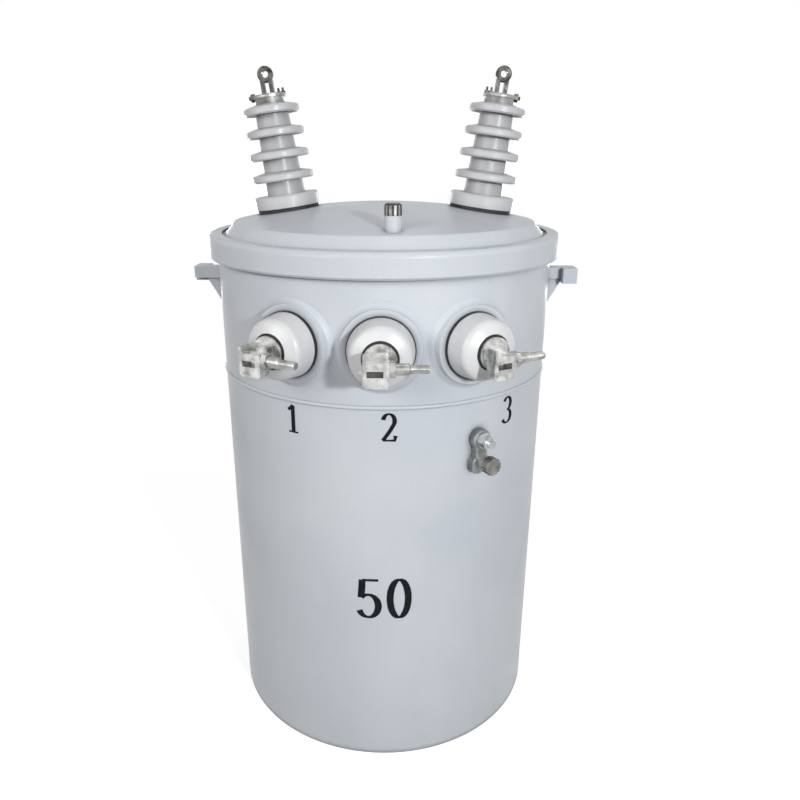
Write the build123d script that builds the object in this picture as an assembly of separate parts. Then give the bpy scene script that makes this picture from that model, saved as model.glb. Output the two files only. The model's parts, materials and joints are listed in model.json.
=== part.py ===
"""Single-phase pole-type distribution transformer.

A round steel tank stands on its own rim. A domed cover is held on it by a split clamp band.
Two tall porcelain bushings stand on the cover, and three short ones with clamp terminals
come out of the front of the tank. Millimetres, +Z up, front toward -Y, origin on the floor
under the middle of the tank.
"""
import os
from math import cos, degrees, radians, sin, sqrt

from build123d import *

# Shared allowances
overrun = 20
weld_gap = 0.3

# Tank shell
tank_radius = 230
tank_wall = 4
upper_course_height = 156
bottom_recess = 12
bottom_thickness = 5
oil_below_lv_holes = 11
oil_gap = 2

# Clamp band, a rolled channel that holds cover, gasket and tank rim together
band_projection = 12
band_bottom_height = 679.5
band_height = 31.5
band_gauge = 3
band_lip_reach = 18.5
band_corner_radius = 7
band_side_gap = 1.5
band_tank_gap = 1
band_split = 14
band_lug_reach = 30
band_lug_thickness = 8
band_lug_margin = 3
band_lug_corner = 6
band_bolt_radius = 6
band_bolt_overhang = 14
band_nut_radius = 10.5
band_nut_thickness = 9
band_bolt_gap = 0.5

# Cover and its gasket
cover_gauge = 3
cover_gasket_thickness = 5
cover_shoulder_rise = 16.5
cover_crown_rise = 23
cover_shoulder_run = 14
cover_band_gap = 3.5
cover_edge_rounding = 5

# Relief boss and plug on the cover
relief_offset_x = 13
relief_edge_inset = 19
relief_boss_radius = 10
relief_boss_rise = 17
relief_neck_radius = 5.5
relief_neck_depth = 9
relief_plug_radius = 10.5
relief_plug_height = 13.5
relief_plug_crown = 2.5
relief_rib_count = 12
relief_rib_depth = 1.2
relief_rib_width = 2.4

# High-voltage bushings on the cover
hv_edge_inset = 73
hv_offset_y = 0
hv_tilt = 7.8
hv_gasket_radius = 42
hv_gasket_thickness = 4
hv_collar_radius = 44
hv_collar_height = 16.5
hv_collar_bevel = 2.5
hv_shank_radius = 24
hv_shank_length = 45
hv_hole_gap = 1
hv_shed_count = 4
hv_first_shed_height = 38.8
hv_shed_pitch = 28.4
hv_bottom_shed_radius = 41.7
hv_top_shed_radius = 36.8
hv_shed_edge = 9.5
hv_shed_slope = 3
hv_shed_lip = 8
hv_shed_bevel = 2
hv_bottom_core_radius = 25.5
hv_top_core_radius = 22
hv_cap_radius = 19.5
hv_cap_height = 12
hv_cap_bevel = 1.5
hv_cap_flange = 2.5
hv_cap_flange_height = 4.5
hv_leg_width = 5.5
hv_leg_gap = 5.5
hv_leg_depth = 9
hv_leg_length = 14
hv_eye_radius = 10.3
hv_eye_hole_radius = 4.2
hv_eye_thickness = 10
hv_eye_bevel = 1.5

# Low-voltage bushings on the front of the tank
lv_spacing = 111.2
lv_drop = 80.5
lv_collar_radius = 48
lv_collar_proud = 6
lv_collar_flare = 5
lv_collar_flare_depth = 12
lv_hole_radius = 33
lv_hole_gap = 1
lv_gasket_radius = 40.5
lv_gasket_thickness = 4
lv_body_radius = 39.5
lv_shoulder_radius = 36
lv_shoulder_height = 28
lv_seat_radius = 21.5
lv_seat_height = 34
lv_shank_length = 38
lv_shoulder_rounding = 9
lv_seal_radius = 21
lv_seal_proud = 0.8
lv_seal_seat_depth = 3
lv_stud_radius = 19
lv_stud_gap = 0.3

# Clamp terminals of the low-voltage bushings
terminal_standoff = 5
terminal_pad_width = 26
terminal_pad_top = 12
terminal_pad_bottom = 3
terminal_pad_thickness = 10
terminal_left = 18.5
terminal_right = 10.5
terminal_top = 4.5
terminal_bottom = 23
terminal_depth = 16
terminal_corner = 3
terminal_slot_width = 18
terminal_slot_height = 7
terminal_slot_drop = 7.5
terminal_slot_offset = 5
terminal_jaw_thickness = 3.5
terminal_jaw_top = 11
terminal_jaw_lap = 2
terminal_tip_radius = 3
terminal_tip_recess = 0.5
terminal_sleeve_radius = 6.5
terminal_sleeve_length = 22
terminal_bolt_radius = 4.4
terminal_bolt_length = 20
terminal_bolt_drop = 3.5
terminal_bolt_gap = 0.3
terminal_bevel = 1.5

# Lifting lugs at the sides
lug_bar_width = 20
lug_bar_height = 15.5
lug_arm_height = 20.5
lug_drop = 20.5
lug_projection = 41
lug_arm_reach = 24
lug_gusset_drop = 42
lug_gusset_inset = 17
lug_gusset_thickness = 12
lug_root_depth = 6
lug_rounding = 3

# Ground connector on the front, under the right low-voltage bushing
ground_turn = 3.6
ground_bolt_drop = 49.5
ground_screw_drop = 28
ground_foot_drop = 33.5
ground_pad_radius = 13
ground_foot_width = 27
ground_foot_height = 20
ground_foot_corner = 4
ground_waist_width = 17
ground_body_thickness = 12
ground_body_bevel = 2
ground_bolt_radius = 5
ground_nut_radius = 8.5
ground_nut_thickness = 8
ground_washer_radius = 10
ground_washer_thickness = 2.5
ground_bolt_overhang = 8
ground_sleeve_radius = 8
ground_sleeve_length = 13
ground_knob_radius = 11.5
ground_knob_length = 10
ground_knob_groove_count = 14
ground_knob_groove_width = 2
ground_knob_groove_depth = 0.9
ground_screw_radius = 4.5
ground_bolt_gap = 0.3

# Hanger brackets at the back, for two bolts through a pole
hanger_spacing = 285.75
hanger_drop = 134.5
hanger_width = 76
hanger_height = 76
hanger_plate = 8
hanger_standoff = 45
hanger_slot_width = 17.5
hanger_slot_length = 40
hanger_bend_radius = 10

# Worked-out places
tank_inner_radius = tank_radius - tank_wall
band_radius = tank_radius + band_projection
band_lip_radius = band_radius - band_lip_reach
rim_bottom = band_bottom_height + band_gauge
rim_radius = band_radius - band_gauge - band_side_gap
band_top = band_bottom_height + band_height
flange_top = band_top - band_gauge
flange_bottom = flange_top - cover_gauge
rim_top = flange_bottom - cover_gasket_thickness
shoulder_foot_radius = band_lip_radius - cover_band_gap
cover_edge_radius = shoulder_foot_radius - cover_shoulder_run
relief_offset_y = relief_edge_inset - cover_edge_radius
hv_offset_x = cover_edge_radius - hv_edge_inset
dome_edge_height = flange_top + cover_shoulder_rise
crown_height = dome_edge_height + cover_crown_rise
dome_radius = (cover_edge_radius**2 + cover_crown_rise**2) / (2 * cover_crown_rise)
dome_centre = Vector(0, 0, crown_height - dome_radius)
bottom_top = bottom_recess + bottom_thickness
seam_height = rim_bottom - upper_course_height
lv_angle_step = degrees(lv_spacing / tank_radius)
lv_angles = {"left": -lv_angle_step, "middle": 0, "right": lv_angle_step}
lv_height = band_bottom_height - lv_drop
oil_level = lv_height - lv_hole_radius - oil_below_lv_holes
lug_top_height = band_bottom_height - lug_drop
lug_reach = tank_radius + lug_projection
ground_angle = lv_angle_step + ground_turn
ground_bolt_height = seam_height - ground_bolt_drop
upper_hanger_height = band_bottom_height - hanger_drop


# Helpers
def turned(outline, rounding=()):
    """Solid of revolution about Z from (radius, height) points, with chosen corners rounded."""
    face = make_face(Polyline(*outline, close=True))
    for corner, radius in rounding:
        face = fillet(face.vertices().sort_by_distance(Vector(*corner))[0], radius)
    return revolve(Plane.XZ * face, Axis.Z)


def ring(inner, outer, bottom, top):
    """Plain ring about Z."""
    return turned([(inner, bottom), (outer, bottom), (outer, top), (inner, top)])


def drum(radius, bottom, top):
    """Plain cylinder about Z between two heights."""
    return Pos(0, 0, bottom) * Cylinder(radius, top - bottom, align=(Align.CENTER, Align.CENTER, Align.MIN))


def wall_plane(angle, height):
    """Plane on the tank wall: local X to the right, local Y up, local Z straight out."""
    out = Vector(sin(radians(angle)), -cos(radians(angle)), 0)
    side = Vector(cos(radians(angle)), sin(radians(angle)), 0)
    return Plane(origin=out * tank_radius + Vector(0, 0, height), x_dir=side, z_dir=out)


def dome_height(x, y):
    """Height of the cover's outer skin over a point inside the dome's edge."""
    return dome_centre.Z + sqrt(dome_radius**2 - x**2 - y**2)


def hexagon(radius, length):
    """Hexagonal prism on the XY plane, by its radius over the corners."""
    return extrude(RegularPolygon(radius, 6), length)


def tank_core():
    """Everything inside the tank's outer surface, used to fit welded pieces to the wall."""
    return drum(tank_radius, 0, band_top)


# Tank
def tank_lower_course():
    return ring(tank_inner_radius, tank_radius, 0, seam_height)


def tank_upper_course():
    course = ring(tank_inner_radius, tank_radius, seam_height, rim_bottom)
    for angle in lv_angles.values():
        course -= wall_plane(angle, lv_height) * drum(lv_hole_radius, -tank_radius / 2, overrun)
    return course


def tank_bottom():
    return drum(tank_inner_radius - weld_gap, bottom_recess, bottom_top)


def tank_rim():
    """Rolled rim bar that the clamp band grips, seated on the top edge of the shell."""
    return ring(tank_inner_radius, rim_radius, rim_bottom, rim_top)


def core_and_oil():
    """Core, coils and oil as one plain mass standing on the bottom."""
    return drum(tank_inner_radius - oil_gap, bottom_top, oil_level)


# Cover
def cover_form(inset):
    """Domed lid shape down to the flange, drawn in from the outer skin by the inset."""
    crown = (0, crown_height - inset)
    edge = (cover_edge_radius - inset / 2, dome_edge_height - inset)
    foot = (shoulder_foot_radius - inset, flange_top - inset)
    base = flange_bottom - inset
    dome = RadiusArc(crown, edge, dome_radius - inset)
    rest = Polyline(edge, foot, (foot[0], base), (0, base), crown)
    face = make_face([*dome.edges(), *rest.edges()])
    face = fillet(face.vertices().sort_by_distance(Vector(*edge))[0], cover_edge_rounding)
    return revolve(Plane.XZ * face, Axis.Z)


def cover():
    flange = ring(shoulder_foot_radius - cover_gauge, rim_radius, flange_bottom, flange_top)
    lid = cover_form(0) - cover_form(cover_gauge) + flange
    for side in (-1, 1):
        lid -= hv_plane(side) * drum(hv_shank_radius + hv_hole_gap, -hv_shank_length, overrun)
    return lid


def cover_gasket():
    return ring(tank_inner_radius, rim_radius, rim_top, flange_bottom)


def clamp_band():
    """Rolled channel with a flat top lip, rounded shoulder and bevelled foot, split at the back."""
    inner_wall = band_radius - band_gauge
    bottom_lip_radius = tank_radius + band_tank_gap
    low = band_bottom_height
    outline = [
        (bottom_lip_radius, low),
        (band_radius - band_gauge, low),
        (band_radius, rim_bottom),
        (band_radius, band_top),
        (band_lip_radius, band_top),
        (band_lip_radius, flange_top),
        (inner_wall, flange_top),
        (inner_wall, rim_bottom),
        (bottom_lip_radius, rim_bottom),
    ]
    rounding = [((band_radius, band_top), band_corner_radius)]
    slot = Pos(0, band_radius, band_bottom_height + band_height / 2)
    slot *= Box(band_split, tank_radius, band_height + 2 * overrun)
    return turned(outline, rounding) - slot


def band_lug_frame():
    """Plane through the band bolt's axis, local Z along the bolt."""
    out = band_radius + band_lug_reach / 2 - band_gauge / 2
    return Plane(origin=(0, out, band_bottom_height + band_height / 2), x_dir=(0, 1, 0), z_dir=(1, 0, 0))


def band_lugs():
    """Two upright ears welded to the band's ends."""
    height = band_height - 2 * band_lug_margin
    lugs = []
    for side in (-1, 1):
        middle = side * (band_split + band_lug_thickness) / 2
        ear = Pos(0, 0, middle) * Box(band_lug_reach, height, band_lug_thickness)
        ear = fillet(ear.edges().filter_by(Axis.Z).sort_by(Axis.X)[-2:], band_lug_corner)
        ear -= Cylinder(band_bolt_radius + band_bolt_gap, band_split + 4 * band_lug_thickness)
        ear = band_lug_frame() * ear
        lugs.append(ear - drum(band_radius, band_bottom_height - overrun, band_top + overrun))
    return Compound(lugs)


def band_bolt():
    """Bolt through both ears, with a hexagon head and a nut against their outer faces."""
    half = band_split / 2 + band_lug_thickness
    shank = drum(band_bolt_radius, -half, half + band_nut_thickness + band_bolt_overhang)
    head = Pos(0, 0, -half - band_nut_thickness) * hexagon(band_nut_radius, band_nut_thickness)
    nut = Pos(0, 0, half) * hexagon(band_nut_radius, band_nut_thickness)
    return band_lug_frame() * (shank + head + nut)


# Relief boss and plug
def relief_place():
    """Top middle of the relief boss."""
    surface = dome_height(relief_offset_x, relief_offset_y)
    return Pos(relief_offset_x, relief_offset_y, surface + relief_boss_rise)


def relief_boss():
    boss = relief_place() * drum(relief_boss_radius, -relief_boss_rise - overrun, 0)
    boss -= relief_place() * drum(relief_neck_radius, -relief_neck_depth, overrun)
    return boss - cover_form(0)


def relief_plug():
    """Screwed plug with a ribbed grip and a low crown."""
    grip = turned(
        [
            (0, 0),
            (relief_plug_radius, 0),
            (relief_plug_radius, relief_plug_height - relief_plug_crown),
            (relief_plug_radius - relief_plug_crown, relief_plug_height),
            (0, relief_plug_height),
        ]
    )
    rib_gap = Pos(relief_plug_radius, 0, relief_plug_height / 2)
    rib_gap *= Box(2 * relief_rib_depth, relief_rib_width, relief_plug_height + overrun)
    for turn in range(relief_rib_count):
        grip -= Rot(0, 0, 360 * turn / relief_rib_count) * rib_gap
    neck = drum(relief_neck_radius - weld_gap, weld_gap - relief_neck_depth, 0)
    return relief_place() * (grip + neck)


# High-voltage bushings
def hv_plane(side):
    """Seat of one bushing on the dome, leaning out to its own side."""
    lean = radians(side * hv_tilt)
    origin = (side * hv_offset_x, hv_offset_y, dome_height(hv_offset_x, hv_offset_y))
    return Plane(origin=origin, x_dir=(cos(lean), 0, -sin(lean)), z_dir=(sin(lean), 0, cos(lean)))


def hv_taper(height, low_value, high_value):
    """Radius at a height, straight from the first shed to the last."""
    span = hv_shed_pitch * (hv_shed_count - 1)
    return low_value + (high_value - low_value) * (height - hv_first_shed_height) / span


hv_collar_top = hv_gasket_thickness + hv_collar_height
hv_last_shed_height = hv_first_shed_height + hv_shed_pitch * (hv_shed_count - 1)
hv_core_top = hv_last_shed_height + hv_shed_edge + hv_shed_slope
hv_cap_top = hv_core_top + hv_cap_height
hv_eye_height = hv_cap_top + hv_leg_length + hv_eye_radius


def hv_gasket(side):
    """Flat ring on top, moulded underneath to the dome."""
    dome = Sphere(dome_radius).moved(Location(dome_centre))
    blank = ring(hv_shank_radius + hv_hole_gap, hv_gasket_radius, -overrun, hv_gasket_thickness)
    return hv_plane(side) * blank - dome


def hv_shed(index):
    """One shed: sloping top, upright bevelled edge and an undercut underside with a drip lip."""
    low = hv_first_shed_height + hv_shed_pitch * index
    edge = hv_taper(low, hv_bottom_shed_radius, hv_top_shed_radius)
    core = hv_taper(low, hv_bottom_core_radius, hv_top_core_radius)
    top = low + hv_shed_edge + hv_shed_slope
    outline = [
        (core / 2, low + hv_shed_slope),
        (edge - hv_shed_lip, low + hv_shed_slope),
        (edge - hv_shed_bevel, low),
        (edge, low + hv_shed_bevel),
        (edge, low + hv_shed_edge - hv_shed_bevel),
        (edge - hv_shed_bevel, low + hv_shed_edge),
        (core, top),
        (core / 2, top),
    ]
    return turned(outline)


def hv_bushing(side):
    """Glazed body: shank through the cover, base collar, tapering core and its sheds."""
    collar_bottom = hv_gasket_thickness
    body = turned(
        [
            (0, -hv_shank_length),
            (hv_shank_radius, -hv_shank_length),
            (hv_shank_radius, collar_bottom),
            (hv_collar_radius, collar_bottom),
            (hv_collar_radius, hv_collar_top - hv_collar_bevel),
            (hv_collar_radius - hv_collar_bevel, hv_collar_top),
            (hv_taper(hv_collar_top, hv_bottom_core_radius, hv_top_core_radius), hv_collar_top),
            (hv_taper(hv_core_top, hv_bottom_core_radius, hv_top_core_radius), hv_core_top),
            (0, hv_core_top),
        ]
    )
    for index in range(hv_shed_count):
        body += hv_shed(index)
    return hv_plane(side) * body


def hv_cap(side):
    """Metal cap with a clamp flange around its top."""
    flange_radius = hv_cap_radius + hv_cap_flange
    flange_base = hv_cap_top - hv_cap_flange_height
    cap = turned(
        [
            (0, hv_core_top),
            (hv_cap_radius, hv_core_top),
            (hv_cap_radius, flange_base),
            (flange_radius, flange_base),
            (flange_radius, hv_cap_top - hv_cap_bevel),
            (flange_radius - hv_cap_bevel, hv_cap_top),
            (0, hv_cap_top),
        ]
    )
    return hv_plane(side) * cap


def hv_terminal(side):
    """Eye on two legs, its hole running from front to back."""
    eye = Cylinder(hv_eye_radius, hv_eye_thickness)
    eye = chamfer(eye.edges().filter_by(GeomType.CIRCLE), hv_eye_bevel)
    hole = Cylinder(hv_eye_hole_radius, hv_eye_thickness + overrun)
    leg_height = hv_leg_length + hv_eye_radius
    leg = Box(hv_leg_width, hv_leg_depth, leg_height, align=(Align.CENTER, Align.CENTER, Align.MIN))
    step = (hv_leg_gap + hv_leg_width) / 2
    legs = Pos(-step, 0, hv_cap_top) * leg + Pos(step, 0, hv_cap_top) * leg
    across = Pos(0, 0, hv_eye_height) * Rot(90, 0, 0)
    return hv_plane(side) * (across * eye + legs - across * hole)


# Low-voltage bushings
lv_body_base = lv_collar_proud + lv_gasket_thickness
lv_seal_base = lv_body_base + lv_seat_height - lv_seal_seat_depth
terminal_back = lv_body_base + lv_seat_height + terminal_standoff
terminal_front = terminal_back + terminal_pad_thickness
terminal_middle = (terminal_right - terminal_left) / 2
terminal_slot_right = terminal_slot_width / 2 - terminal_slot_offset


def lv_collar(angle):
    """Welded seat ring, flat in front, flared toward the round wall that it is fitted to."""
    blank = turned(
        [
            (lv_hole_radius, -lv_collar_flare_depth),
            (lv_collar_radius + lv_collar_flare, -lv_collar_flare_depth),
            (lv_collar_radius, lv_collar_proud),
            (lv_hole_radius, lv_collar_proud),
        ]
    )
    return wall_plane(angle, lv_height) * blank - tank_core()


def lv_gasket(angle):
    return wall_plane(angle, lv_height) * ring(lv_hole_radius, lv_gasket_radius, lv_collar_proud, lv_body_base)


def lv_bushing(angle):
    """Tapered glazed body with a rounded front, a seat for the seal and a shank through the wall."""
    shank = lv_hole_radius - lv_hole_gap
    base = lv_body_base
    seat = base + lv_seat_height
    body = turned(
        [
            (0, base - lv_shank_length),
            (shank, base - lv_shank_length),
            (shank, base),
            (lv_body_radius, base),
            (lv_shoulder_radius, base + lv_shoulder_height),
            (lv_seat_radius, seat),
            (lv_seat_radius, lv_seal_base),
            (0, lv_seal_base),
        ],
        [((lv_shoulder_radius, base + lv_shoulder_height), lv_shoulder_rounding)],
    )
    return wall_plane(angle, lv_height) * body


def lv_seal(angle):
    """Rubber ring around the stud, standing a little out of its seat."""
    inner = lv_stud_radius + lv_stud_gap
    top = lv_body_base + lv_seat_height + lv_seal_proud
    return wall_plane(angle, lv_height) * ring(inner, lv_seal_radius, lv_seal_base, top)


def lv_terminal(angle):
    """Stud disc with a pad, and in front of it a clamp loop with a tall left jaw and a conductor slot."""
    stud = drum(lv_stud_radius, lv_seal_base, terminal_back)
    pad_height = terminal_pad_top + terminal_pad_bottom
    pad = Box(terminal_pad_width, pad_height, terminal_pad_thickness, align=(Align.CENTER, Align.MAX, Align.MIN))
    pad = chamfer(pad.edges().filter_by(Axis.Z).group_by(Axis.Y)[-1], terminal_corner)
    pad = Pos(terminal_middle, terminal_pad_top, terminal_back) * pad
    on_front = (Align.CENTER, Align.MIN, Align.MIN)
    loop = Box(terminal_left + terminal_right, terminal_top + terminal_bottom, terminal_depth, align=on_front)
    loop = chamfer(loop.edges().filter_by(Axis.Z).group_by(Axis.Y)[0], terminal_corner)
    loop = Pos(terminal_middle, -terminal_bottom, terminal_front) * loop
    jaw = Box(terminal_jaw_thickness, terminal_jaw_top, terminal_depth + terminal_jaw_lap, align=on_front)
    jaw = Pos(terminal_jaw_thickness / 2 - terminal_left, 0, terminal_front - terminal_jaw_lap) * jaw
    slot = Box(terminal_slot_width, terminal_slot_height, terminal_depth + overrun)
    slot = Pos(-terminal_slot_offset, -terminal_slot_drop, terminal_front + terminal_depth / 2) * slot
    hole = drum(terminal_tip_radius + terminal_bolt_gap, terminal_slot_right, terminal_right + overrun)
    solid = stud + pad + loop + jaw - slot - terminal_bolt_axis() * hole
    return wall_plane(angle, lv_height) * solid


def terminal_bolt_axis():
    """Plane on the terminal's clamp bolt, local Z to the right."""
    out = terminal_front + terminal_depth / 2
    return Plane(origin=(0, -terminal_bolt_drop, out), x_dir=(0, 1, 0), z_dir=(1, 0, 0))


def lv_clamp_bolt(angle):
    """Clamp bolt in the loop's right side: slim tip in the hole, sleeve nut and threaded end."""
    tip = drum(terminal_tip_radius, terminal_slot_right + terminal_tip_recess, terminal_right)
    sleeve_end = terminal_right + terminal_sleeve_length
    shank = drum(terminal_bolt_radius, terminal_right, sleeve_end + terminal_bolt_length)
    sleeve = drum(terminal_sleeve_radius, terminal_right, sleeve_end)
    sleeve = chamfer(sleeve.edges().group_by(Axis.Z)[-1], terminal_bevel)
    return wall_plane(angle, lv_height) * (terminal_bolt_axis() * (tip + shank + sleeve))


# Lifting lugs
def lifting_lug(turn):
    """Bar out of the wall with an arm turned along the tank and a gusset under its root."""
    hung = (Align.CENTER, Align.CENTER, Align.MAX)
    root = tank_radius - lug_root_depth
    bar_length = lug_reach - root
    bar = Box(bar_length, lug_bar_width, lug_bar_height, align=hung)
    bar = Pos(root + bar_length / 2, 0, lug_top_height) * bar
    arm = Box(lug_bar_width, lug_arm_reach, lug_arm_height, align=hung)
    arm = Pos(lug_reach - lug_bar_width / 2, -lug_arm_reach / 2, lug_top_height) * arm
    hook = bar + arm
    ends = hook.edges().filter_by(Axis.Z).group_by(Axis.X)[-1].sort_by(Axis.Y)
    hook = fillet([ends[0], ends[-1]], lug_rounding)
    bar_bottom = lug_top_height - lug_bar_height
    gusset = make_face(
        Polyline(
            (root, bar_bottom),
            (lug_reach - lug_gusset_inset, bar_bottom),
            (tank_radius, bar_bottom - lug_gusset_drop),
            (root, bar_bottom - lug_gusset_drop),
            close=True,
        )
    )
    gusset = extrude(Plane.XZ * gusset, lug_gusset_thickness / 2, both=True)
    return Rot(0, 0, turn) * (hook + gusset - tank_core())


# Ground connector
ground_plane = wall_plane(ground_angle, ground_bolt_height)


def ground_connector():
    """Cast body on the wall: round head for the bolt, narrow waist and a wider foot."""
    head = Circle(ground_pad_radius)
    waist = Pos(0, -ground_foot_drop / 2) * Rectangle(ground_waist_width, ground_foot_drop)
    foot = Rectangle(ground_foot_width, ground_foot_height)
    foot = Pos(0, -ground_foot_drop) * chamfer(foot.vertices(), ground_foot_corner)
    body = extrude(head + waist + foot, ground_body_thickness + overrun)
    body = Pos(0, 0, -overrun) * body
    front = body.faces().sort_by(Axis.Z)[-1]
    body = chamfer(front.edges(), ground_body_bevel)
    hole_gap = ground_bolt_gap
    body -= drum(ground_bolt_radius + hole_gap, -overrun, ground_body_thickness + overrun)
    screw_hole = drum(ground_screw_radius + hole_gap, -overrun, ground_body_thickness + overrun)
    body -= Pos(0, -ground_screw_drop, 0) * screw_hole
    return ground_plane * body - tank_core()


def ground_bolt():
    """Stud from the wall with a washer and a hexagon nut on the connector's head."""
    seat = ground_body_thickness
    nut_base = seat + ground_washer_thickness
    nut_top = nut_base + ground_nut_thickness
    washer = drum(ground_washer_radius, seat, nut_base)
    nut = Pos(0, 0, nut_base) * hexagon(ground_nut_radius, ground_nut_thickness)
    stud = drum(ground_bolt_radius, -overrun, nut_top + ground_bolt_overhang)
    return ground_plane * (washer + nut + stud) - tank_core()


def ground_screw():
    """Conductor clamp screw with a sleeve and a knurled round head."""
    seat = ground_body_thickness
    knob_base = seat + ground_sleeve_length
    sleeve = drum(ground_sleeve_radius, seat, knob_base)
    knob = drum(ground_knob_radius, knob_base, knob_base + ground_knob_length)
    groove = Box(2 * ground_knob_groove_depth, ground_knob_groove_width, ground_knob_length + overrun)
    groove = Pos(ground_knob_radius, 0, knob_base + ground_knob_length / 2) * groove
    for turn in range(ground_knob_groove_count):
        knob -= Rot(0, 0, 360 * turn / ground_knob_groove_count) * groove
    shank = drum(ground_screw_radius, -overrun, knob_base)
    screw = Pos(0, -ground_screw_drop, 0) * (sleeve + knob + shank)
    return ground_plane * screw - tank_core()


# Hanger brackets
def hanger_bracket(height):
    """Channel welded to the wall, its flat web slotted for one pole bolt."""
    face_out = tank_radius + hanger_standoff
    depth = hanger_standoff + tank_radius / 2
    channel = Pos(0, face_out - depth / 2, 0) * Box(hanger_width, depth, hanger_height)
    channel = fillet(channel.edges().filter_by(Axis.Z).sort_by(Axis.Y)[-2:], hanger_bend_radius)
    inner_width = hanger_width - 2 * hanger_plate
    inner = Pos(0, face_out - hanger_plate - depth / 2, 0) * Box(inner_width, depth, hanger_height + 2 * overrun)
    slot = SlotOverall(hanger_slot_length, hanger_slot_width, rotation=90)
    slot = Pos(0, face_out + overrun, 0) * extrude(Plane.XZ * slot, depth)
    return Pos(0, 0, height) * (channel - inner - slot) - tank_core()


# Write one file per piece
os.makedirs("parts", exist_ok=True)
pieces = {
    "tank_lower_course": tank_lower_course(),
    "tank_upper_course": tank_upper_course(),
    "tank_bottom": tank_bottom(),
    "tank_rim": tank_rim(),
    "core_and_oil": core_and_oil(),
    "cover": cover(),
    "cover_gasket": cover_gasket(),
    "clamp_band": clamp_band(),
    "band_lugs": band_lugs(),
    "band_bolt": band_bolt(),
    "relief_boss": relief_boss(),
    "relief_plug": relief_plug(),
    "lifting_lug_right": lifting_lug(0),
    "lifting_lug_left": lifting_lug(180),
    "ground_connector": ground_connector(),
    "ground_bolt": ground_bolt(),
    "ground_screw": ground_screw(),
    "upper_hanger_bracket": hanger_bracket(upper_hanger_height),
    "lower_hanger_bracket": hanger_bracket(upper_hanger_height - hanger_spacing),
}
for name, side in (("left", -1), ("right", 1)):
    pieces[f"hv_gasket_{name}"] = hv_gasket(side)
    pieces[f"hv_bushing_{name}"] = hv_bushing(side)
    pieces[f"hv_cap_{name}"] = hv_cap(side)
    pieces[f"hv_terminal_{name}"] = hv_terminal(side)
for name, angle in lv_angles.items():
    pieces[f"lv_collar_{name}"] = lv_collar(angle)
    pieces[f"lv_gasket_{name}"] = lv_gasket(angle)
    pieces[f"lv_bushing_{name}"] = lv_bushing(angle)
    pieces[f"lv_seal_{name}"] = lv_seal(angle)
    pieces[f"lv_terminal_{name}"] = lv_terminal(angle)
    pieces[f"lv_clamp_bolt_{name}"] = lv_clamp_bolt(angle)
for name, shape in pieces.items():
    export_step(shape, f"parts/{name}.step")
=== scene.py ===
"""Looks of a single-phase pole-type distribution transformer.

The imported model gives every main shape. This script adds welds, threads, nuts, plain numerals,
procedural materials, studio light and the camera. Metres, +Z up, front toward -Y.
"""
import json
import math

import bmesh
import bpy
from mathutils import Matrix, Vector


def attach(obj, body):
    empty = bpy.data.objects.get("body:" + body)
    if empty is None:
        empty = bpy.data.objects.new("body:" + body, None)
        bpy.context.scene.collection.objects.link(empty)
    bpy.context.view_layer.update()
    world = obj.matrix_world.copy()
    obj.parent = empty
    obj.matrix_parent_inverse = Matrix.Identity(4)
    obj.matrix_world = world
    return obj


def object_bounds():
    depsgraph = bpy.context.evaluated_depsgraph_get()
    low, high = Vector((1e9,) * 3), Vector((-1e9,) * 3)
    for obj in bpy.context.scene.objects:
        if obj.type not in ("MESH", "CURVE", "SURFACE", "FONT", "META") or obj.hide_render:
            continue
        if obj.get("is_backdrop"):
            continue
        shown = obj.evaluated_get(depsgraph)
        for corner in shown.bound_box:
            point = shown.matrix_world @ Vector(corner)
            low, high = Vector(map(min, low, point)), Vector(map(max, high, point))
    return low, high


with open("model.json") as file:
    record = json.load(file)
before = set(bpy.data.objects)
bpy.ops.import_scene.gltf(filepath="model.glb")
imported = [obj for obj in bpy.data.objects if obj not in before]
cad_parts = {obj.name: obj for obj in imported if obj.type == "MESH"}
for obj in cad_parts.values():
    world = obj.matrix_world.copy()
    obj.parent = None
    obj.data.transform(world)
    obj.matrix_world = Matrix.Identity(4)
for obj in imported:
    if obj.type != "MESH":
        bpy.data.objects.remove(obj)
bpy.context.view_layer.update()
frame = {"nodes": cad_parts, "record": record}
nodes = frame["nodes"]

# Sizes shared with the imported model, in metres and degrees
TANK_R = 0.230
SEAM_Z = 0.5265
LV_Z = 0.599
LV_SPACING = 0.1112
LV_STEP = math.degrees(LV_SPACING / TANK_R)
LV_ANGLES = {"left": -LV_STEP, "middle": 0.0, "right": LV_STEP}
LV_COLLAR_R = 0.048
LV_COLLAR_PROUD = 0.006
LV_COLLAR_FLARE_SHARE = 5 / 18
TERMINAL_OUT = 0.067
TERMINAL_RIGHT = 0.0105
CLAMP_BOLT_UP = -0.0035
SLEEVE_LENGTH = 0.022
SLEEVE_R = 0.0065
CLAMP_BOLT_R = 0.0044
CLAMP_BOLT_END = 0.020
HV_X = 0.133
HV_SEAT_Z = 0.73798
HV_TILT = 7.8
HV_CAP_TOP = 0.1485
HV_CAP_R = 0.0195
LUG_TOP_Z = 0.659
LUG_BAR_HEIGHT = 0.0155
LUG_BAR_HALF_WIDTH = 0.010
LUG_GUSSET_DROP = 0.042
LUG_GUSSET_HALF_WIDTH = 0.006
HANGER_HEIGHTS = {"upper": 0.545, "lower": 0.25925}
HANGER_HALF_WIDTH = 0.038
HANGER_HALF_HEIGHT = 0.038
HANGER_HALF_PLATE = 0.004
GROUND_TURN = 3.6
GROUND_ANGLE = LV_STEP + GROUND_TURN
GROUND_BOLT_Z = 0.477
GROUND_BOLT_R = 0.0050
GROUND_NUT_TOP = 0.0225
GROUND_KNOB_BASE = 0.025
RELIEF_X = 0.013
RELIEF_Y = -0.187
RELIEF_RIB_R = 0.0099

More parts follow.
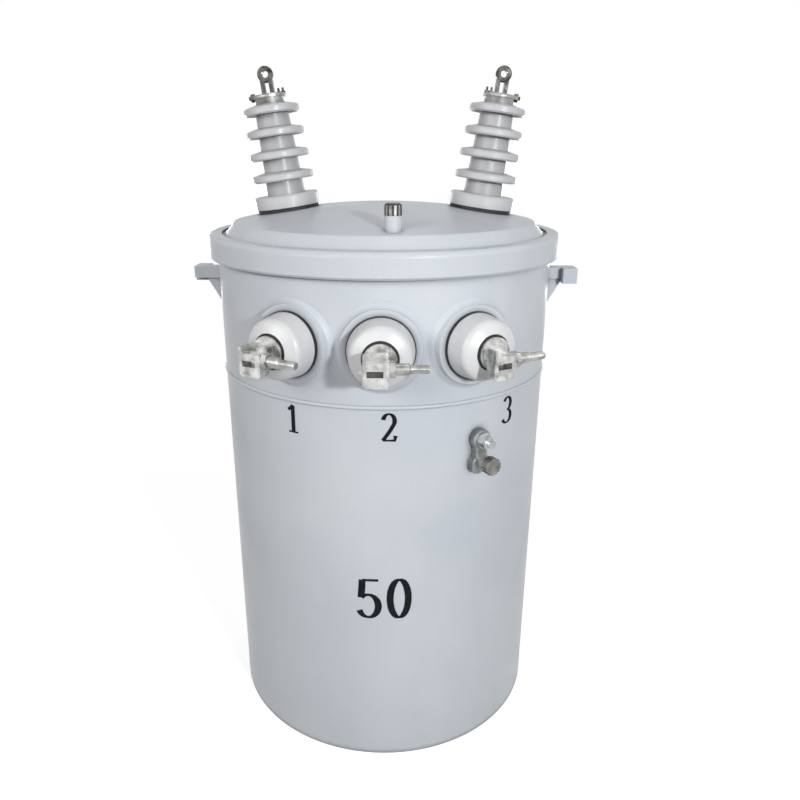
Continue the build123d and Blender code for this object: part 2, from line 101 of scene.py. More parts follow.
# Sizes of the weld beads
SEAM_POINTS = 1440
SEAM_BEAD_R = 0.0027
SEAM_BEAD_SINK = 0.0004
LUG_BEAD_R = 0.0024
HANGER_BEAD_R = 0.0028
COLLAR_WELD = 0.005
COLLAR_WELD_BEND = 0.0012
COLLAR_WELD_ROOT = 0.001
COLLAR_WELD_SINK = 0.0002
COLLAR_WELD_TOP_GAP = 0.0003

# Sizes of the nuts and threads
CLAMP_NUT_CORNER_R = 0.0098
CLAMP_NUT_HEIGHT = 0.0066
CLAMP_NUT_HOLE_SHARE = 0.99
CLAMP_THREAD_DEPTH = 0.0005
CLAMP_THREAD_PITCH = 0.0016
CLAMP_THREAD_OVERHANG = 0.0008
CAP_NUT_SINK = 0.001
CAP_NUT_DROP = 0.002
CAP_NUT = {"corner": 0.0052, "height": 0.0058, "hole": 0.0026}
CAP_STUD = {"radius": 0.0024, "depth": 0.0003, "pitch": 0.001, "length": 0.0085}
CAP_POST_PLACES = (-0.0130, -0.0188)
CAP_POST_FORWARD = 0.005
CAP_POST_SINK = 0.0005
CAP_POST_NUT = {"corner": 0.0030, "height": 0.0026, "hole": 0.0012}
CAP_POST = {"radius": 0.0014, "depth": 0.0002, "pitch": 0.0008, "length": 0.0070}
GROUND_THREAD_DEPTH = 0.0004
GROUND_THREAD_PITCH = 0.0015
GROUND_THREAD_LENGTH = 0.0083

# Turn that lays a shape made along Z along X
Z_TO_X = Matrix.Rotation(math.radians(90), 4, "Y")


# Mesh helpers
class Shape:
    """Collects loose shells into one joined mesh."""

    def __init__(self):
        self.verts = []
        self.faces = []

    def add(self, verts, faces, matrix=None):
        base = len(self.verts)
        self.verts += [matrix @ Vector(v) if matrix else Vector(v) for v in verts]
        self.faces += [tuple(base + i for i in face) for face in faces]
        return self


SMOOTH_ANGLE = math.radians(38)


def add_piece(name, shape, material, smooth=True):
    """New piece on the transformer's one body."""
    mesh = bpy.data.meshes.new(name)
    mesh.from_pydata([tuple(v) for v in shape.verts], [], shape.faces)
    mesh.update()
    bm = bmesh.new()
    bm.from_mesh(mesh)
    bmesh.ops.recalc_face_normals(bm, faces=bm.faces)
    bm.to_mesh(mesh)
    bm.free()
    for poly in mesh.polygons:
        poly.use_smooth = smooth
    if smooth:
        mesh.set_sharp_from_angle(angle=SMOOTH_ANGLE)
    mesh.materials.append(material)
    piece = bpy.data.objects.new(name, mesh)
    bpy.context.scene.collection.objects.link(piece)
    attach(piece, "root")
    return piece


def wall_matrix(angle, height, out=0.0):
    """Local X to the right along the wall, local Y up, local Z straight out."""
    a = math.radians(angle)
    out_dir = Vector((math.sin(a), -math.cos(a), 0))
    side_dir = Vector((math.cos(a), math.sin(a), 0))
    place = out_dir * (TANK_R + out) + Vector((0, 0, height))
    turn = Matrix((side_dir, Vector((0, 0, 1)), out_dir)).transposed().to_4x4()
    return Matrix.Translation(place) @ turn


def hv_matrix(side):
    """Seat of one tall bushing, local Z along its axis, local X outward."""
    lean = math.radians(side * HV_TILT)
    z_dir = Vector((math.sin(lean), 0, math.cos(lean)))
    x_dir = Vector((math.cos(lean), 0, -math.sin(lean))) * side
    y_dir = z_dir.cross(x_dir)
    turn = Matrix((x_dir, y_dir, z_dir)).transposed().to_4x4()
    return Matrix.Translation(Vector((side * HV_X, 0, HV_SEAT_Z))) @ turn


def ring_faces(rings, count, closed=True):
    """Faces between rings of count points each; the last ring joins the first if closed."""
    faces = []
    for i in range(rings if closed else rings - 1):
        low, high = i * count, (i + 1) % rings * count
        for k in range(count):
            j = (k + 1) % count
            faces.append((low + k, low + j, high + j, high + k))
    return faces


def hex_nut(corner, height, hole):
    """Hexagon nut on the XY plane with rounded-off corners at both ends and an open bore."""
    count = 48
    corner_slope, edge_share, face_share = 0.45, 0.02, 0.97
    flat = corner * math.cos(math.pi / 6)
    levels = ("hole_low", "face_low", "edge_low", "edge_high", "face_high", "hole_high")
    verts = []
    for level in levels:
        for k in range(count):
            a = 2 * math.pi * k / count
            turn = (a % (math.pi / 3)) - math.pi / 6
            radius = flat / math.cos(turn)
            drop = corner_slope * max(0.0, radius - flat) + edge_share * corner
            if level.startswith("hole"):
                radius, drop = hole, 0.0
            elif level.startswith("face"):
                radius, drop = flat * face_share, 0.0
            z = drop if level.endswith("low") else height - drop
            verts.append((radius * math.cos(a), radius * math.sin(a), z))
    return verts, ring_faces(len(levels), count)


def threaded_rod(radius, depth, pitch, length):
    """Rod end with a rolled thread, along Z from zero, with a chamfered tip."""
    count, steps_per_pitch = 28, 8
    tip_pitches, tip_share = 1.2, 0.15
    root_share, flank_share = 0.12, 0.7
    steps = max(steps_per_pitch, int(length / pitch * steps_per_pitch))
    verts = []
    for i in range(steps + 1):
        z = length * i / steps
        fade = min(1.0, (length - z) / (tip_pitches * pitch) + tip_share)
        for k in range(count):
            turn = k / count
            phase = (z / pitch - turn) % 1.0
            ridge = 1.0 - abs(2.0 * phase - 1.0)
            ridge = min(1.0, max(0.0, (ridge - root_share) / flank_share))
            r = (radius + depth * ridge) * fade + (radius - depth) * (1.0 - fade)
            a = 2 * math.pi * turn
            verts.append((r * math.cos(a), r * math.sin(a), z))
    tip = tuple(range(steps * count, (steps + 1) * count))
    foot = tuple(reversed(range(count)))
    return verts, ring_faces(steps + 1, count, closed=False) + [tip, foot]


def bead(path, normals, radius, flat=0.7, ripple=0.08, spacing=0.004):
    """Closed weld bead along a path, flattened toward the normal, with fine cross ripples."""
    sides = 10
    verts = []
    run = 0.0
    for i, point in enumerate(path):
        after = path[(i + 1) % len(path)]
        along = (after - path[i - 1]).normalized()
        normal = normals[i]
        across = along.cross(normal).normalized()
        if i:
            run += (point - path[i - 1]).length
        swell = 1.0 + ripple * math.sin(2 * math.pi * run / spacing)
        for k in range(sides):
            a = 2 * math.pi * k / sides
            offset = across * math.cos(a) + normal * (math.sin(a) * flat)
            verts.append(point + offset * (radius * swell))
    return verts, ring_faces(len(path), sides)


def on_wall(corners, step=0.0012):
    """Closed path on the tank wall from (across, height) corners, facing +X, sampled evenly."""
    path = []
    normals = []
    for (y0, z0), (y1, z1) in zip(corners, corners[1:] + corners[:1]):
        parts = max(2, int(math.hypot(y1 - y0, z1 - z0) / step))
        for i in range(parts):
            y = y0 + (y1 - y0) * i / parts
            z = z0 + (z1 - z0) * i / parts
            path.append(Vector((math.sqrt(TANK_R**2 - y * y), y, z)))
            normals.append(Vector((path[-1].x, y, 0)).normalized())
    return path, normals


# Node helpers for the materials
WHITE = (1, 1, 1)
MIX_FACTOR, MIX_FIRST, MIX_SECOND, MIX_RESULT = 0, 6, 7, 2


def fill(tree, node, inputs):
    """Fill a node's inputs: a socket is linked, anything else is set as the value."""
    for key, value in inputs.items():
        if isinstance(value, bpy.types.NodeSocket):
            tree.links.new(value, node.inputs[key])
        else:
            node.inputs[key].default_value = value


def add_node(tree, kind, inputs, **settings):
    """New node with its settings made and its inputs filled."""
    node = tree.nodes.new(kind)
    for key, value in settings.items():
        setattr(node, key, value)
    fill(tree, node, inputs)
    return node


def fresh_material(name):
    """New material with its node tree, its shader and the object's coordinates."""
    mat = bpy.data.materials.new(name)
    mat.use_nodes = True
    tree = mat.node_tree
    coords = add_node(tree, "ShaderNodeTexCoord", {})
    return mat, tree, tree.nodes["Principled BSDF"], coords.outputs["Object"]


def noise(tree, coords, scale, detail=3.0, roughness=0.5, stretch=None):
    """Noise value with a number of cells in a metre, squeezed along the axes by stretch."""
    if stretch:
        mapping = add_node(tree, "ShaderNodeMapping", {"Vector": coords, "Scale": stretch})
        coords = mapping.outputs["Vector"]
    inputs = {"Vector": coords, "Scale": scale, "Detail": detail, "Roughness": roughness}
    return add_node(tree, "ShaderNodeTexNoise", inputs).outputs["Fac"]


def ramp(tree, value, stops):
    """Colour picked by a value from (place, colour) stops."""
    node = add_node(tree, "ShaderNodeValToRGB", {"Fac": value})
    while len(node.color_ramp.elements) < len(stops):
        node.color_ramp.elements.new(0.5)
    for element, (place, colour) in zip(node.color_ramp.elements, stops):
        element.position = place
        element.color = (*colour, 1.0)
    return node.outputs["Color"]


def blend(tree, first, second, factor, mode="MIX"):
    """Two colours mixed by a factor."""
    inputs = {MIX_FIRST: first, MIX_SECOND: second, MIX_FACTOR: factor}
    node = add_node(tree, "ShaderNodeMix", inputs, data_type="RGBA", blend_type=mode)
    return node.outputs[MIX_RESULT]


def spread(tree, value, low, high):
    """A noise value mapped from its usual middle range to low and high."""
    inputs = {"Value": value, "From Min": 0.3, "From Max": 0.7, "To Min": low, "To Max": high}
    return add_node(tree, "ShaderNodeMapRange", inputs).outputs["Result"]


def bump(tree, value, strength, distance, below=None):
    """Normal roughened by a height value, on top of another bump if one is given."""
    inputs = {"Height": value, "Strength": strength, "Distance": distance}
    if below is not None:
        inputs["Normal"] = below
    return add_node(tree, "ShaderNodeBump", inputs).outputs["Normal"]


def painted_crevice_shade(tree, colour, reach, dark):
    """Painted shade: darken a colour where another surface stands close, as shade falls in
    grooves.
    """
    near = add_node(tree, "ShaderNodeAmbientOcclusion", {"Distance": reach}, samples=6)
    shade = ramp(tree, near.outputs["AO"], [(0.28, (dark, dark, dark)), (0.86, WHITE)])
    return blend(tree, colour, shade, 1.0, "MULTIPLY")


def srgb(red, green, blue):
    """Linear colour of a display colour in steps of 255."""
    def linear(c):
        c /= 255.0
        return c / 12.92 if c <= 0.04045 else ((c + 0.055) / 1.055) ** 2.4
    return (linear(red), linear(green), linear(blue))


# Materials
def tank_paint():
    """Light grey enamel over sheet steel: faint clouding, orange peel, a soft gloss and painted
    shade in creases.
    """
    mat, tree, shader, coords = fresh_material("tank_paint")
    clouds = noise(tree, coords, scale=5.0, detail=3.0, roughness=0.55)
    colour = ramp(tree, clouds, [(0.30, srgb(198, 203, 210)), (0.70, srgb(210, 214, 219))])
    specks = noise(tree, coords, scale=420.0, detail=2.0)
    specks = ramp(tree, specks, [(0.35, (0.975, 0.975, 0.975)), (0.62, WHITE)])
    colour = blend(tree, colour, specks, 1.0, "MULTIPLY")
    runs = noise(tree, coords, scale=14.0, detail=4.0, roughness=0.6, stretch=(1.0, 1.0, 0.12))
    runs = ramp(tree, runs, [(0.36, (0.962, 0.966, 0.972)), (0.60, WHITE)])
    colour = blend(tree, colour, runs, 0.7, "MULTIPLY")
    gloss = noise(tree, coords, scale=18.0, detail=4.0)
    dents = noise(tree, coords, scale=7.0, detail=1.0)
    dents = bump(tree, dents, strength=0.25, distance=0.004)
    peel = noise(tree, coords, scale=330.0, detail=2.0)
    fill(tree, shader, {
        # Base colour carries painted shade, darker where other surfaces stand close.
        "Base Color": painted_crevice_shade(tree, colour, reach=0.012, dark=0.10),
        "Roughness": spread(tree, gloss, low=0.34, high=0.46),
        "Normal": bump(tree, peel, strength=0.06, distance=0.0005, below=dents),
        "Specular IOR Level": 0.32,
        "Coat Weight": 0.06,
        "Coat Roughness": 0.25,
    })
    return mat


def porcelain(name, dark, light, rough, coat, shade_reach):
    """Glazed ceramic with a faint mottle under the glaze and painted shade where other surfaces
    stand close.
    """
    mat, tree, shader, coords = fresh_material(name)
    clouds = noise(tree, coords, scale=22.0, detail=4.0, roughness=0.55)
    colour = ramp(tree, clouds, [(0.30, srgb(*dark)), (0.70, srgb(*light))])
    mottle = noise(tree, coords, scale=700.0, detail=2.0)
    mottle = ramp(tree, mottle, [(0.32, (0.95, 0.95, 0.955)), (0.58, WHITE)])
    colour = blend(tree, colour, mottle, 1.0, "MULTIPLY")
    gloss = noise(tree, coords, scale=45.0, detail=3.0)
    waves = noise(tree, coords, scale=60.0, detail=2.0)
    fill(tree, shader, {
        # Base colour carries painted shade, darker where other surfaces stand close.
        "Base Color": painted_crevice_shade(tree, colour, shade_reach, dark=0.42),
        "Roughness": spread(tree, gloss, *rough),
        "Normal": bump(tree, waves, strength=0.12, distance=0.001),
        "Coat Weight": coat,
        "Coat Roughness": 0.18,
    })
    return mat


def black_rubber():
    """Matte black rubber with a fine grain."""
    mat, tree, shader, coords = fresh_material("black_rubber")
    drift = noise(tree, coords, scale=160.0, detail=4.0)
    gloss = noise(tree, coords, scale=220.0, detail=3.0)
    grain = noise(tree, coords, scale=900.0, detail=2.0)
    fill(tree, shader, {
        "Base Color": ramp(tree, drift, [(0.30, srgb(17, 17, 18)), (0.75, srgb(38, 38, 39))]),
        "Roughness": spread(tree, gloss, low=0.55, high=0.75),
        "Normal": bump(tree, grain, strength=0.25, distance=0.0004),
    })
    return mat


def black_paint():
    """Thin stencilled black paint with a slightly uneven tone."""
    mat, tree, shader, coords = fresh_material("black_paint")
    drift = noise(tree, coords, scale=260.0, detail=4.0)
    gloss = noise(tree, coords, scale=150.0, detail=3.0)
    grain = noise(tree, coords, scale=500.0, detail=2.0)
    fill(tree, shader, {
        "Base Color": ramp(tree, drift, [(0.30, srgb(6, 7, 10)), (0.72, srgb(26, 28, 33))]),
        "Roughness": spread(tree, gloss, low=0.55, high=0.75),
        "Normal": bump(tree, grain, strength=0.15, distance=0.0004),
        "Specular IOR Level": 0.12,
    })
    return mat


def beyond_radius(tree, coords, middle, radius):
    """One outside an upright cylinder and zero inside it, with a narrow step between."""
    half_step = 0.0002
    place = (-middle[0], -middle[1], 0)
    inputs = {"Vector": coords, "Location": place, "Scale": (1, 1, 0)}
    flat = add_node(tree, "ShaderNodeMapping", inputs)
    reach = add_node(
        tree, "ShaderNodeVectorMath", {0: flat.outputs["Vector"]}, operation="LENGTH")
    inputs = {
        "Value": reach.outputs["Value"],
        "From Min": radius - half_step,
        "From Max": radius + half_step,
    }
    return add_node(tree, "ShaderNodeMapRange", inputs).outputs["Result"]


def metal(name, dark, light, rough, grain, core=None):
    """Plated metal with tonal drift, dull patches and fine tool marks.

    With core, a middle, a radius and two colours, the metal is another tone inside that radius.
    """
    mat, tree, shader, coords = fresh_material(name)
    drift = noise(tree, coords, scale=70.0, detail=4.0, roughness=0.6)
    colour = ramp(tree, drift, [(0.30, srgb(*dark)), (0.66, srgb(*light))])
    if core:
        middle, radius, core_dark, core_light = core
        inside = ramp(tree, drift, [(0.30, srgb(*core_dark)), (0.66, srgb(*core_light))])
        colour = blend(tree, inside, colour, beyond_radius(tree, coords, middle, radius))
    gloss = noise(tree, coords, scale=120.0, detail=3.0)
    marks = noise(tree, coords, scale=grain, detail=3.0, roughness=0.6)
    fill(tree, shader, {
        "Base Color": colour,
        "Roughness": spread(tree, gloss, *rough),
        "Normal": bump(tree, marks, strength=0.22, distance=0.0004),
        "Metallic": 1.0,
    })
    return mat


KNOB_CORE_INSET = 0.0005
knob_core = (
    (0, 0), TANK_R + GROUND_KNOB_BASE - KNOB_CORE_INSET, (150, 152, 150), (196, 197, 195))
plug_core = ((RELIEF_X, RELIEF_Y), RELIEF_RIB_R, (60, 60, 60), (92, 92, 91))

finish = {
    "tank_paint": tank_paint(),
    "porcelain": porcelain(
        "porcelain", (193, 193, 196), (205, 205, 207),
        rough=(0.36, 0.50), coat=0.08, shade_reach=0.020),
    "black_rubber": black_rubber(),
    "tinned_metal": metal(
        "tinned_metal", (134, 134, 133), (226, 226, 224), rough=(0.26, 0.42), grain=500.0),
    "zinc_steel": metal(
        "zinc_steel", (150, 152, 153), (206, 208, 208), rough=(0.24, 0.42), grain=600.0),
    "dark_metal": metal(
        "dark_metal", (62, 61, 59), (112, 110, 106), rough=(0.38, 0.56), grain=420.0),
    "core_mass": metal(
        "core_mass", (60, 58, 52), (92, 88, 80), rough=(0.5, 0.7), grain=200.0),
}
own_looks = {
    "lv_clamp_bolt": metal(
        "bolt_metal", (126, 126, 124), (186, 185, 182), rough=(0.28, 0.44), grain=500.0),
    "lv_bushing": porcelain(
        "porcelain_white", (212, 212, 214), (224, 224, 224),
        rough=(0.28, 0.40), coat=0.15, shade_reach=0.008),
    "hv_cap": metal(
        "cap_metal", (112, 112, 112), (172, 172, 171), rough=(0.36, 0.52), grain=500.0),
    "hv_terminal": metal(
        "eye_metal", (20, 21, 21), (108, 108, 106), rough=(0.15, 0.27), grain=180.0),
    "ground_connector": metal(
        "ground_casting", (112, 117, 116), (156, 160, 158), rough=(0.48, 0.66), grain=420.0),
    "ground_screw": metal(
        "ground_knob", (94, 94, 92), (152, 151, 148),
        rough=(0.36, 0.54), grain=420.0, core=knob_core),
    "relief_plug": metal(
        "ribbed_plug", (108, 108, 107), (170, 170, 168),
        rough=(0.36, 0.54), grain=420.0, core=plug_core),
}
lettering = black_paint()

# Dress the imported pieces: own material and, on some, small softened edges
EDGE_SOFTENING = {
    "lv_terminal": 0.0012,
    "lifting_lug": 0.0022,
    "hanger_bracket": 0.0012,
    "ground_connector": 0.0008,
    "hv_terminal": 0.0010,
    "hv_cap": 0.0006,
}
JOIN_DISTANCE = 0.00002
SOFT_SEGMENTS = 2
SOFT_ANGLE = math.radians(35)

slot_of = {row["node"]: row["material_slot"] for row in frame["record"]["subparts"]}
for name, node in nodes.items():
    node.data.materials.clear()
    looks = [look for key, look in own_looks.items() if name.startswith(key)]
    node.data.materials.append(looks[0] if looks else finish[slot_of[name]])
    for key, width in EDGE_SOFTENING.items():
        if key in name:
            joined = node.modifiers.new("joined_corners", "WELD")
            joined.merge_threshold = JOIN_DISTANCE
            soft = node.modifiers.new("soft_edges", "BEVEL")
            soft.width = width
            soft.segments = SOFT_SEGMENTS
            soft.limit_method = "ANGLE"
            soft.angle_limit = SOFT_ANGLE


# Weld beads
def add_weld(name, shape):
    """Weld bead as a painted piece."""
    add_piece(name, shape, finish["tank_paint"])


seam_path = []
seam_normals = []
for k in range(SEAM_POINTS):
    a = 2 * math.pi * k / SEAM_POINTS
    seam_normals.append(Vector((math.sin(a), -math.cos(a), 0)))
    seam_path.append(seam_normals[-1] * (TANK_R - SEAM_BEAD_SINK) + Vector((0, 0, SEAM_Z)))
seam = bead(seam_path, seam_normals, SEAM_BEAD_R, flat=0.95, ripple=0.04, spacing=0.006)
add_weld("tank_seam_weld", Shape().add(*seam))


def wall_sag(side):
    """How far the round wall falls back from its tangent plane, as a negative distance out."""
    return math.sqrt(TANK_R**2 - side * side) - TANK_R


def flare_radius(out):
    """Radius of the collar's flared side at a distance out from the wall's tangent plane."""
    return LV_COLLAR_R + LV_COLLAR_FLARE_SHARE * (LV_COLLAR_PROUD - out)


def collar_fillet():
    """Hollow weld between a flared collar and the round wall, in the collar's own frame."""
    turns, steps, toe_tries = 240, 7, 12
    verts = []
    for k in range(turns):
        a = 2 * math.pi * k / turns
        toe = LV_COLLAR_R
        for _ in range(toe_tries):
            out = wall_sag(toe * math.cos(a))
            toe = flare_radius(out)
        top = min(out + COLLAR_WELD, LV_COLLAR_PROUD - COLLAR_WELD_TOP_GAP)
        start = (flare_radius(top) - COLLAR_WELD_SINK, top)
        bend = (toe + COLLAR_WELD_BEND, out + COLLAR_WELD_BEND)
        reach = toe + COLLAR_WELD
        end = (reach, wall_sag(reach * math.cos(a)) - COLLAR_WELD_SINK)
        section = [(toe - COLLAR_WELD_ROOT, out - COLLAR_WELD_ROOT)]
        for i in range(steps):
            t = i / (steps - 1)
            shares = ((1 - t) ** 2, 2 * t * (1 - t), t * t)
            section.append([
                shares[0] * p + shares[1] * q + shares[2] * r
                for p, q, r in zip(start, bend, end)
            ])
        verts += [(r * math.cos(a), r * math.sin(a), z) for r, z in section]
    return verts, ring_faces(turns, steps + 1)


for name, angle in LV_ANGLES.items():
    fillet = Shape().add(*collar_fillet(), wall_matrix(angle, LV_Z))
    add_weld(f"lv_collar_weld_{name}", fillet)

lug_low = LUG_TOP_Z - LUG_BAR_HEIGHT
lug_foot = lug_low - LUG_GUSSET_DROP
lug_right_half = [
    (LUG_BAR_HALF_WIDTH, LUG_TOP_Z), (LUG_BAR_HALF_WIDTH, lug_low),
    (LUG_GUSSET_HALF_WIDTH, lug_low), (LUG_GUSSET_HALF_WIDTH, lug_foot),
]
lug_corners = lug_right_half + [(-across, height) for across, height in reversed(lug_right_half)]
for name, turn in (("right", 0.0), ("left", math.pi)):
    lug_bead = bead(*on_wall(lug_corners), LUG_BEAD_R)
    add_weld(f"lug_weld_{name}", Shape().add(*lug_bead, Matrix.Rotation(turn, 4, "Z")))

to_back = Matrix.Rotation(math.pi / 2, 4, "Z")
for name, height in HANGER_HEIGHTS.items():
    shape = Shape()
    low, high = height - HANGER_HALF_HEIGHT, height + HANGER_HALF_HEIGHT
    for side in (-1, 1):
        middle = side * (HANGER_HALF_WIDTH - HANGER_HALF_PLATE)
        left, right = middle - HANGER_HALF_PLATE, middle + HANGER_HALF_PLATE
        corners = [(left, low), (right, low), (right, high), (left, high)]
        shape.add(*bead(*on_wall(corners), HANGER_BEAD_R), to_back)
    add_weld(f"hanger_weld_{name}", shape)

# Threads and nuts of the clamp terminals
clamp_thread = threaded_rod(
    CLAMP_BOLT_R, CLAMP_THREAD_DEPTH, CLAMP_THREAD_PITCH,
    CLAMP_BOLT_END + CLAMP_THREAD_OVERHANG)
clamp_nut = hex_nut(CLAMP_NUT_CORNER_R, CLAMP_NUT_HEIGHT, SLEEVE_R * CLAMP_NUT_HOLE_SHARE)
for name, angle in LV_ANGLES.items():
    axis = wall_matrix(angle, LV_Z + CLAMP_BOLT_UP, TERMINAL_OUT) @ Z_TO_X
    shape = Shape()
    shape.add(*clamp_thread, axis @ Matrix.Translation((0, 0, TERMINAL_RIGHT + SLEEVE_LENGTH)))
    shape.add(*clamp_nut, axis @ Matrix.Translation((0, 0, TERMINAL_RIGHT)))
    add_piece(f"clamp_nut_and_thread_{name}", shape, own_looks["lv_clamp_bolt"])

# Small screws on the caps of the tall bushings
for name, side in (("left", -1), ("right", 1)):
    seat = hv_matrix(side)
    shape = Shape()
    nut_place = (HV_CAP_R - CAP_NUT_SINK, 0, HV_CAP_TOP - CAP_NUT_DROP)
    cross = seat @ Matrix.Translation(nut_place) @ Z_TO_X
    shape.add(*hex_nut(**CAP_NUT), cross)
    shape.add(*threaded_rod(**CAP_STUD), cross)
    for reach in CAP_POST_PLACES:
        post_place = (reach, -CAP_POST_FORWARD, HV_CAP_TOP - CAP_POST_SINK)
        post = seat @ Matrix.Translation(post_place)
        shape.add(*hex_nut(**CAP_POST_NUT), post)
        shape.add(*threaded_rod(**CAP_POST), post)
    add_piece(f"hv_cap_nut_{name}", shape, finish["dark_metal"])

# Thread on the ground stud
stud_thread = threaded_rod(
    GROUND_BOLT_R, GROUND_THREAD_DEPTH, GROUND_THREAD_PITCH, GROUND_THREAD_LENGTH)
stud = Shape().add(*stud_thread, wall_matrix(GROUND_ANGLE, GROUND_BOLT_Z, GROUND_NUT_TOP))
add_piece("ground_stud_thread", stud, finish["zinc_steel"])


# Plain numerals, stencilled in black
def arc(cx, cy, rx, ry, start, end, parts=30):
    """Points on part of an ellipse, from one angle to another in degrees."""
    points = []
    for i in range(parts + 1):
        a = math.radians(start + (end - start) * i / parts)
        points.append((cx + rx * math.cos(a), cy + ry * math.sin(a)))
    return points


# Pen paths in shares of the numeral's height, from its lower left corner
NUMERALS = {
    "0": [arc(0.25, 0.5, 0.20, 0.48, 90, 450, 60)],
    "1": [
        [(0.26, 0.0), (0.26, 0.5), (0.26, 0.99)],
        [(0.07, 0.82), (0.17, 0.90), (0.26, 0.99)],
        [(0.07, 0.02), (0.26, 0.02), (0.45, 0.02)],
    ],
    "2": [
        arc(0.25, 0.73, 0.19, 0.25, 170, -25) + [(0.30, 0.40), (0.05, 0.03)],
        [(0.05, 0.03), (0.25, 0.03), (0.45, 0.03), (0.47, 0.20)],
    ],
    "3": [
        arc(0.23, 0.75, 0.18, 0.23, 155, -90),
        arc(0.22, 0.27, 0.22, 0.25, 90, -155),
    ],
    "5": [
        [(0.10, 0.97), (0.28, 0.97), (0.45, 0.97)],
        [(0.10, 0.97), (0.09, 0.76), (0.07, 0.52)],
        arc(0.23, 0.31, 0.22, 0.29, 132, -155, 40),
    ],
}
THICK_SHARE = 0.150
THIN_SHARE = 0.055
THICK_POWER = 1.6
ADVANCE_SHARE = 0.66
MARGIN_SHARE = 0.08
PAINT_PROUD = 0.00025
PAINT_FILM = 0.0002


def stroke(points, height, angle, base, start):
    """Ribbon on the tank wall along a pen path, thick where it runs upright."""
    verts = []
    faces = []
    for i, point in enumerate(points):
        x0, y0 = points[max(0, i - 1)]
        x1, y1 = points[min(len(points) - 1, i + 1)]
        length = math.hypot(x1 - x0, y1 - y0) or 1.0
        tx, ty = (x1 - x0) / length, (y1 - y0) / length
        width = THIN_SHARE + (THICK_SHARE - THIN_SHARE) * abs(ty) ** THICK_POWER
        for sign in (-1, 1):
            u = (point[0] - ty * sign * width / 2) * height + start
            v = (point[1] + tx * sign * width / 2) * height
            a = math.radians(angle) + u / TANK_R
            r = TANK_R + PAINT_PROUD
            verts.append((r * math.sin(a), -r * math.cos(a), base + v))
    for i in range(len(points) - 1):
        faces.append((2 * i, 2 * i + 1, 2 * i + 3, 2 * i + 2))
    return verts, faces


def numeral(name, digits, height, angle, middle):
    """One painted number, centred on an angle and a height of the wall."""
    shape = Shape()
    advance = ADVANCE_SHARE * height
    left = -advance * len(digits) / 2 + MARGIN_SHARE * height
    for place, digit in enumerate(digits):
        for points in NUMERALS[digit]:
            start = left + place * advance
            shape.add(*stroke(points, height, angle, middle - height / 2, start))
    piece = add_piece(name, shape, lettering, smooth=False)
    film = piece.modifiers.new("paint_film", "SOLIDIFY")
    film.thickness = PAINT_FILM
    film.offset = 0.0


MARK_HEIGHT = 0.036
MARK_Z = 0.502
RATING_HEIGHT = 0.060
RATING_Z = 0.260
numeral("numeral_left", "1", MARK_HEIGHT, -28.5, MARK_Z)
numeral("numeral_middle", "2", MARK_HEIGHT, 2.3, MARK_Z)
numeral("numeral_right", "3", MARK_HEIGHT, 44.2, MARK_Z)
numeral("numeral_rating", "50", RATING_HEIGHT, 0.9, RATING_Z)

# Floor and backdrop light
FLOOR_HALF = 30
FLOOR_DROP = 0.0005
FLOOR_TONE = (0.62, 0.62, 0.62, 1)
FLOOR_BOUNCE_TONE = (0.28, 0.28, 0.28, 1)
FLOOR_GLOW = 0.66
FLOOR_FADE_START = 0.35
FLOOR_FADE_END = 1.3
AIR_TONE = (0.97, 0.98, 1.0, 1)
AIR_STRENGTH = 0.11

scene = bpy.context.scene
scene.view_settings.view_transform = "Standard"

floor_mesh = bpy.data.meshes.new("floor")
floor_signs = ((-1, -1), (1, -1), (1, 1), (-1, 1))
floor_corners = [(FLOOR_HALF * x, FLOOR_HALF * y, 0) for x, y in floor_signs]
floor_mesh.from_pydata(floor_corners, [], [(0, 1, 2, 3)])
floor = bpy.data.objects.new("floor", floor_mesh)
floor.location.z = -FLOOR_DROP
scene.collection.objects.link(floor)
floor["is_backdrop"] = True


def seen_directly(tree):
    """One for rays that show the background: camera, glossy and transmission rays."""
    path = add_node(tree, "ShaderNodeLightPath", {})
    total = path.outputs["Is Camera Ray"]
    for output in ("Is Glossy Ray", "Is Transmission Ray"):
        inputs = {0: total, 1: path.outputs[output]}
        total = add_node(tree, "ShaderNodeMath", inputs, operation="MAXIMUM").outputs[0]
    return total


def show_by_ray(tree, hidden, seen, output):
    """Send one shader to the rays that light the part and another to those that show it."""
    inputs = {"Fac": seen_directly(tree), 1: hidden.outputs[0], 2: seen.outputs[0]}
    pick = add_node(tree, "ShaderNodeMixShader", inputs)
    add_node(tree, output, {"Surface": pick.outputs[0]})


floor_mat = bpy.data.materials.new("floor")
floor_mat.use_nodes = True
tree = floor_mat.node_tree
tree.nodes.clear()
plain = add_node(tree, "ShaderNodeBsdfDiffuse", {"Color": FLOOR_TONE})
bounce = add_node(tree, "ShaderNodeBsdfDiffuse", {"Color": FLOOR_BOUNCE_TONE})
glow = add_node(tree, "ShaderNodeEmission", {"Strength": FLOOR_GLOW})
near = add_node(tree, "ShaderNodeAddShader", {0: plain.outputs[0], 1: glow.outputs[0]})
far = add_node(tree, "ShaderNodeEmission", {})
ground = add_node(tree, "ShaderNodeTexCoord", {})
reach = add_node(
    tree, "ShaderNodeVectorMath", {0: ground.outputs["Object"]}, operation="LENGTH")
fade_inputs = {
    "Value": reach.outputs["Value"],
    "From Min": FLOOR_FADE_START,
    "From Max": FLOOR_FADE_END,
}
fade = add_node(tree, "ShaderNodeMapRange", fade_inputs, interpolation_type="SMOOTHSTEP")
shown_inputs = {"Fac": fade.outputs["Result"], 1: near.outputs[0], 2: far.outputs[0]}
shown = add_node(tree, "ShaderNodeMixShader", shown_inputs)
show_by_ray(tree, bounce, shown, "ShaderNodeOutputMaterial")
floor_mesh.materials.append(floor_mat)

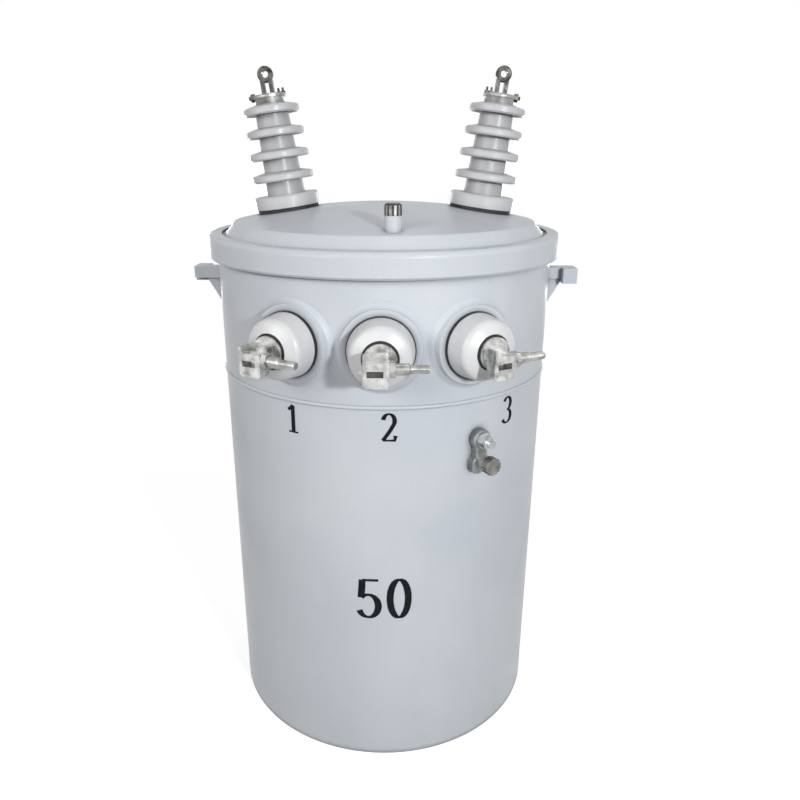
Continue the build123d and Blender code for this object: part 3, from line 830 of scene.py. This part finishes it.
world = bpy.data.worlds.new("studio")
scene.world = world
world.use_nodes = True
tree = world.node_tree
tree.nodes.clear()
air = add_node(tree, "ShaderNodeBackground", {"Color": AIR_TONE, "Strength": AIR_STRENGTH})
white = add_node(tree, "ShaderNodeBackground", {"Color": (*WHITE, 1), "Strength": 1.0})
show_by_ray(tree, air, white, "ShaderNodeOutputWorld")

# Lamps
WARM = (1.0, 0.99, 0.97)
COOL = (0.97, 0.99, 1.0)
TANK_MIDDLE = (0, 0, 0.5)
TANK_LOW_MIDDLE = (0, 0, 0.35)


def lamp(name, place, size, watts, colour=WHITE, target=TANK_MIDDLE):
    """Round area lamp that points at a target."""
    data = bpy.data.lights.new(name, "AREA")
    data.shape = "DISK"
    data.size = size
    data.energy = watts
    data.color = colour
    light = bpy.data.objects.new(name, data)
    light.location = place
    light.rotation_euler = (Vector(target) - Vector(place)).to_track_quat("-Z", "Y").to_euler()
    scene.collection.objects.link(light)


lamp("left_soft", (-1.55, -1.56, 1.40), size=1.2, watts=17.5, colour=WARM)
lamp("front_soft", (-0.80, -2.05, 1.60), size=1.2, watts=7.0)
lamp("right_key", (0.85, -1.81, 1.07), size=0.15, watts=22.5, colour=COOL)
lamp("right_soft", (1.90, -1.10, 1.40), size=1.0, watts=5.0, colour=COOL)
lamp("top_soft", (0.2, 0.2, 3.0), size=1.6, watts=8.0)
lamp("back_left", (-1.27, 2.72, 0.40), size=0.7, watts=36.0, target=TANK_LOW_MIDDLE)
lamp("back_right", (1.27, 2.72, 0.40), size=0.7, watts=36.0, target=TANK_LOW_MIDDLE)

# Camera, as fitted to the photo
VIEW_TURN = math.radians(0.9)
VIEW_PITCH = math.radians(70.5)
CAMERA_DISTANCE = 1.0189
CAMERA_Z = 0.8165
CAMERA_SENSOR = 36.0
CAMERA_LENS = 31.86
CAMERA_SHIFT = 0.01975

camera_data = bpy.data.cameras.new("camera")
camera_data.sensor_width = CAMERA_SENSOR
camera_data.lens = CAMERA_LENS
camera_data.shift_x = CAMERA_SHIFT
camera = bpy.data.objects.new("camera", camera_data)
camera.location = (
    CAMERA_DISTANCE * math.sin(VIEW_TURN), -CAMERA_DISTANCE * math.cos(VIEW_TURN), CAMERA_Z)
camera.rotation_euler = (VIEW_PITCH, 0, VIEW_TURN)
scene.collection.objects.link(camera)
scene.camera = camera

low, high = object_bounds()
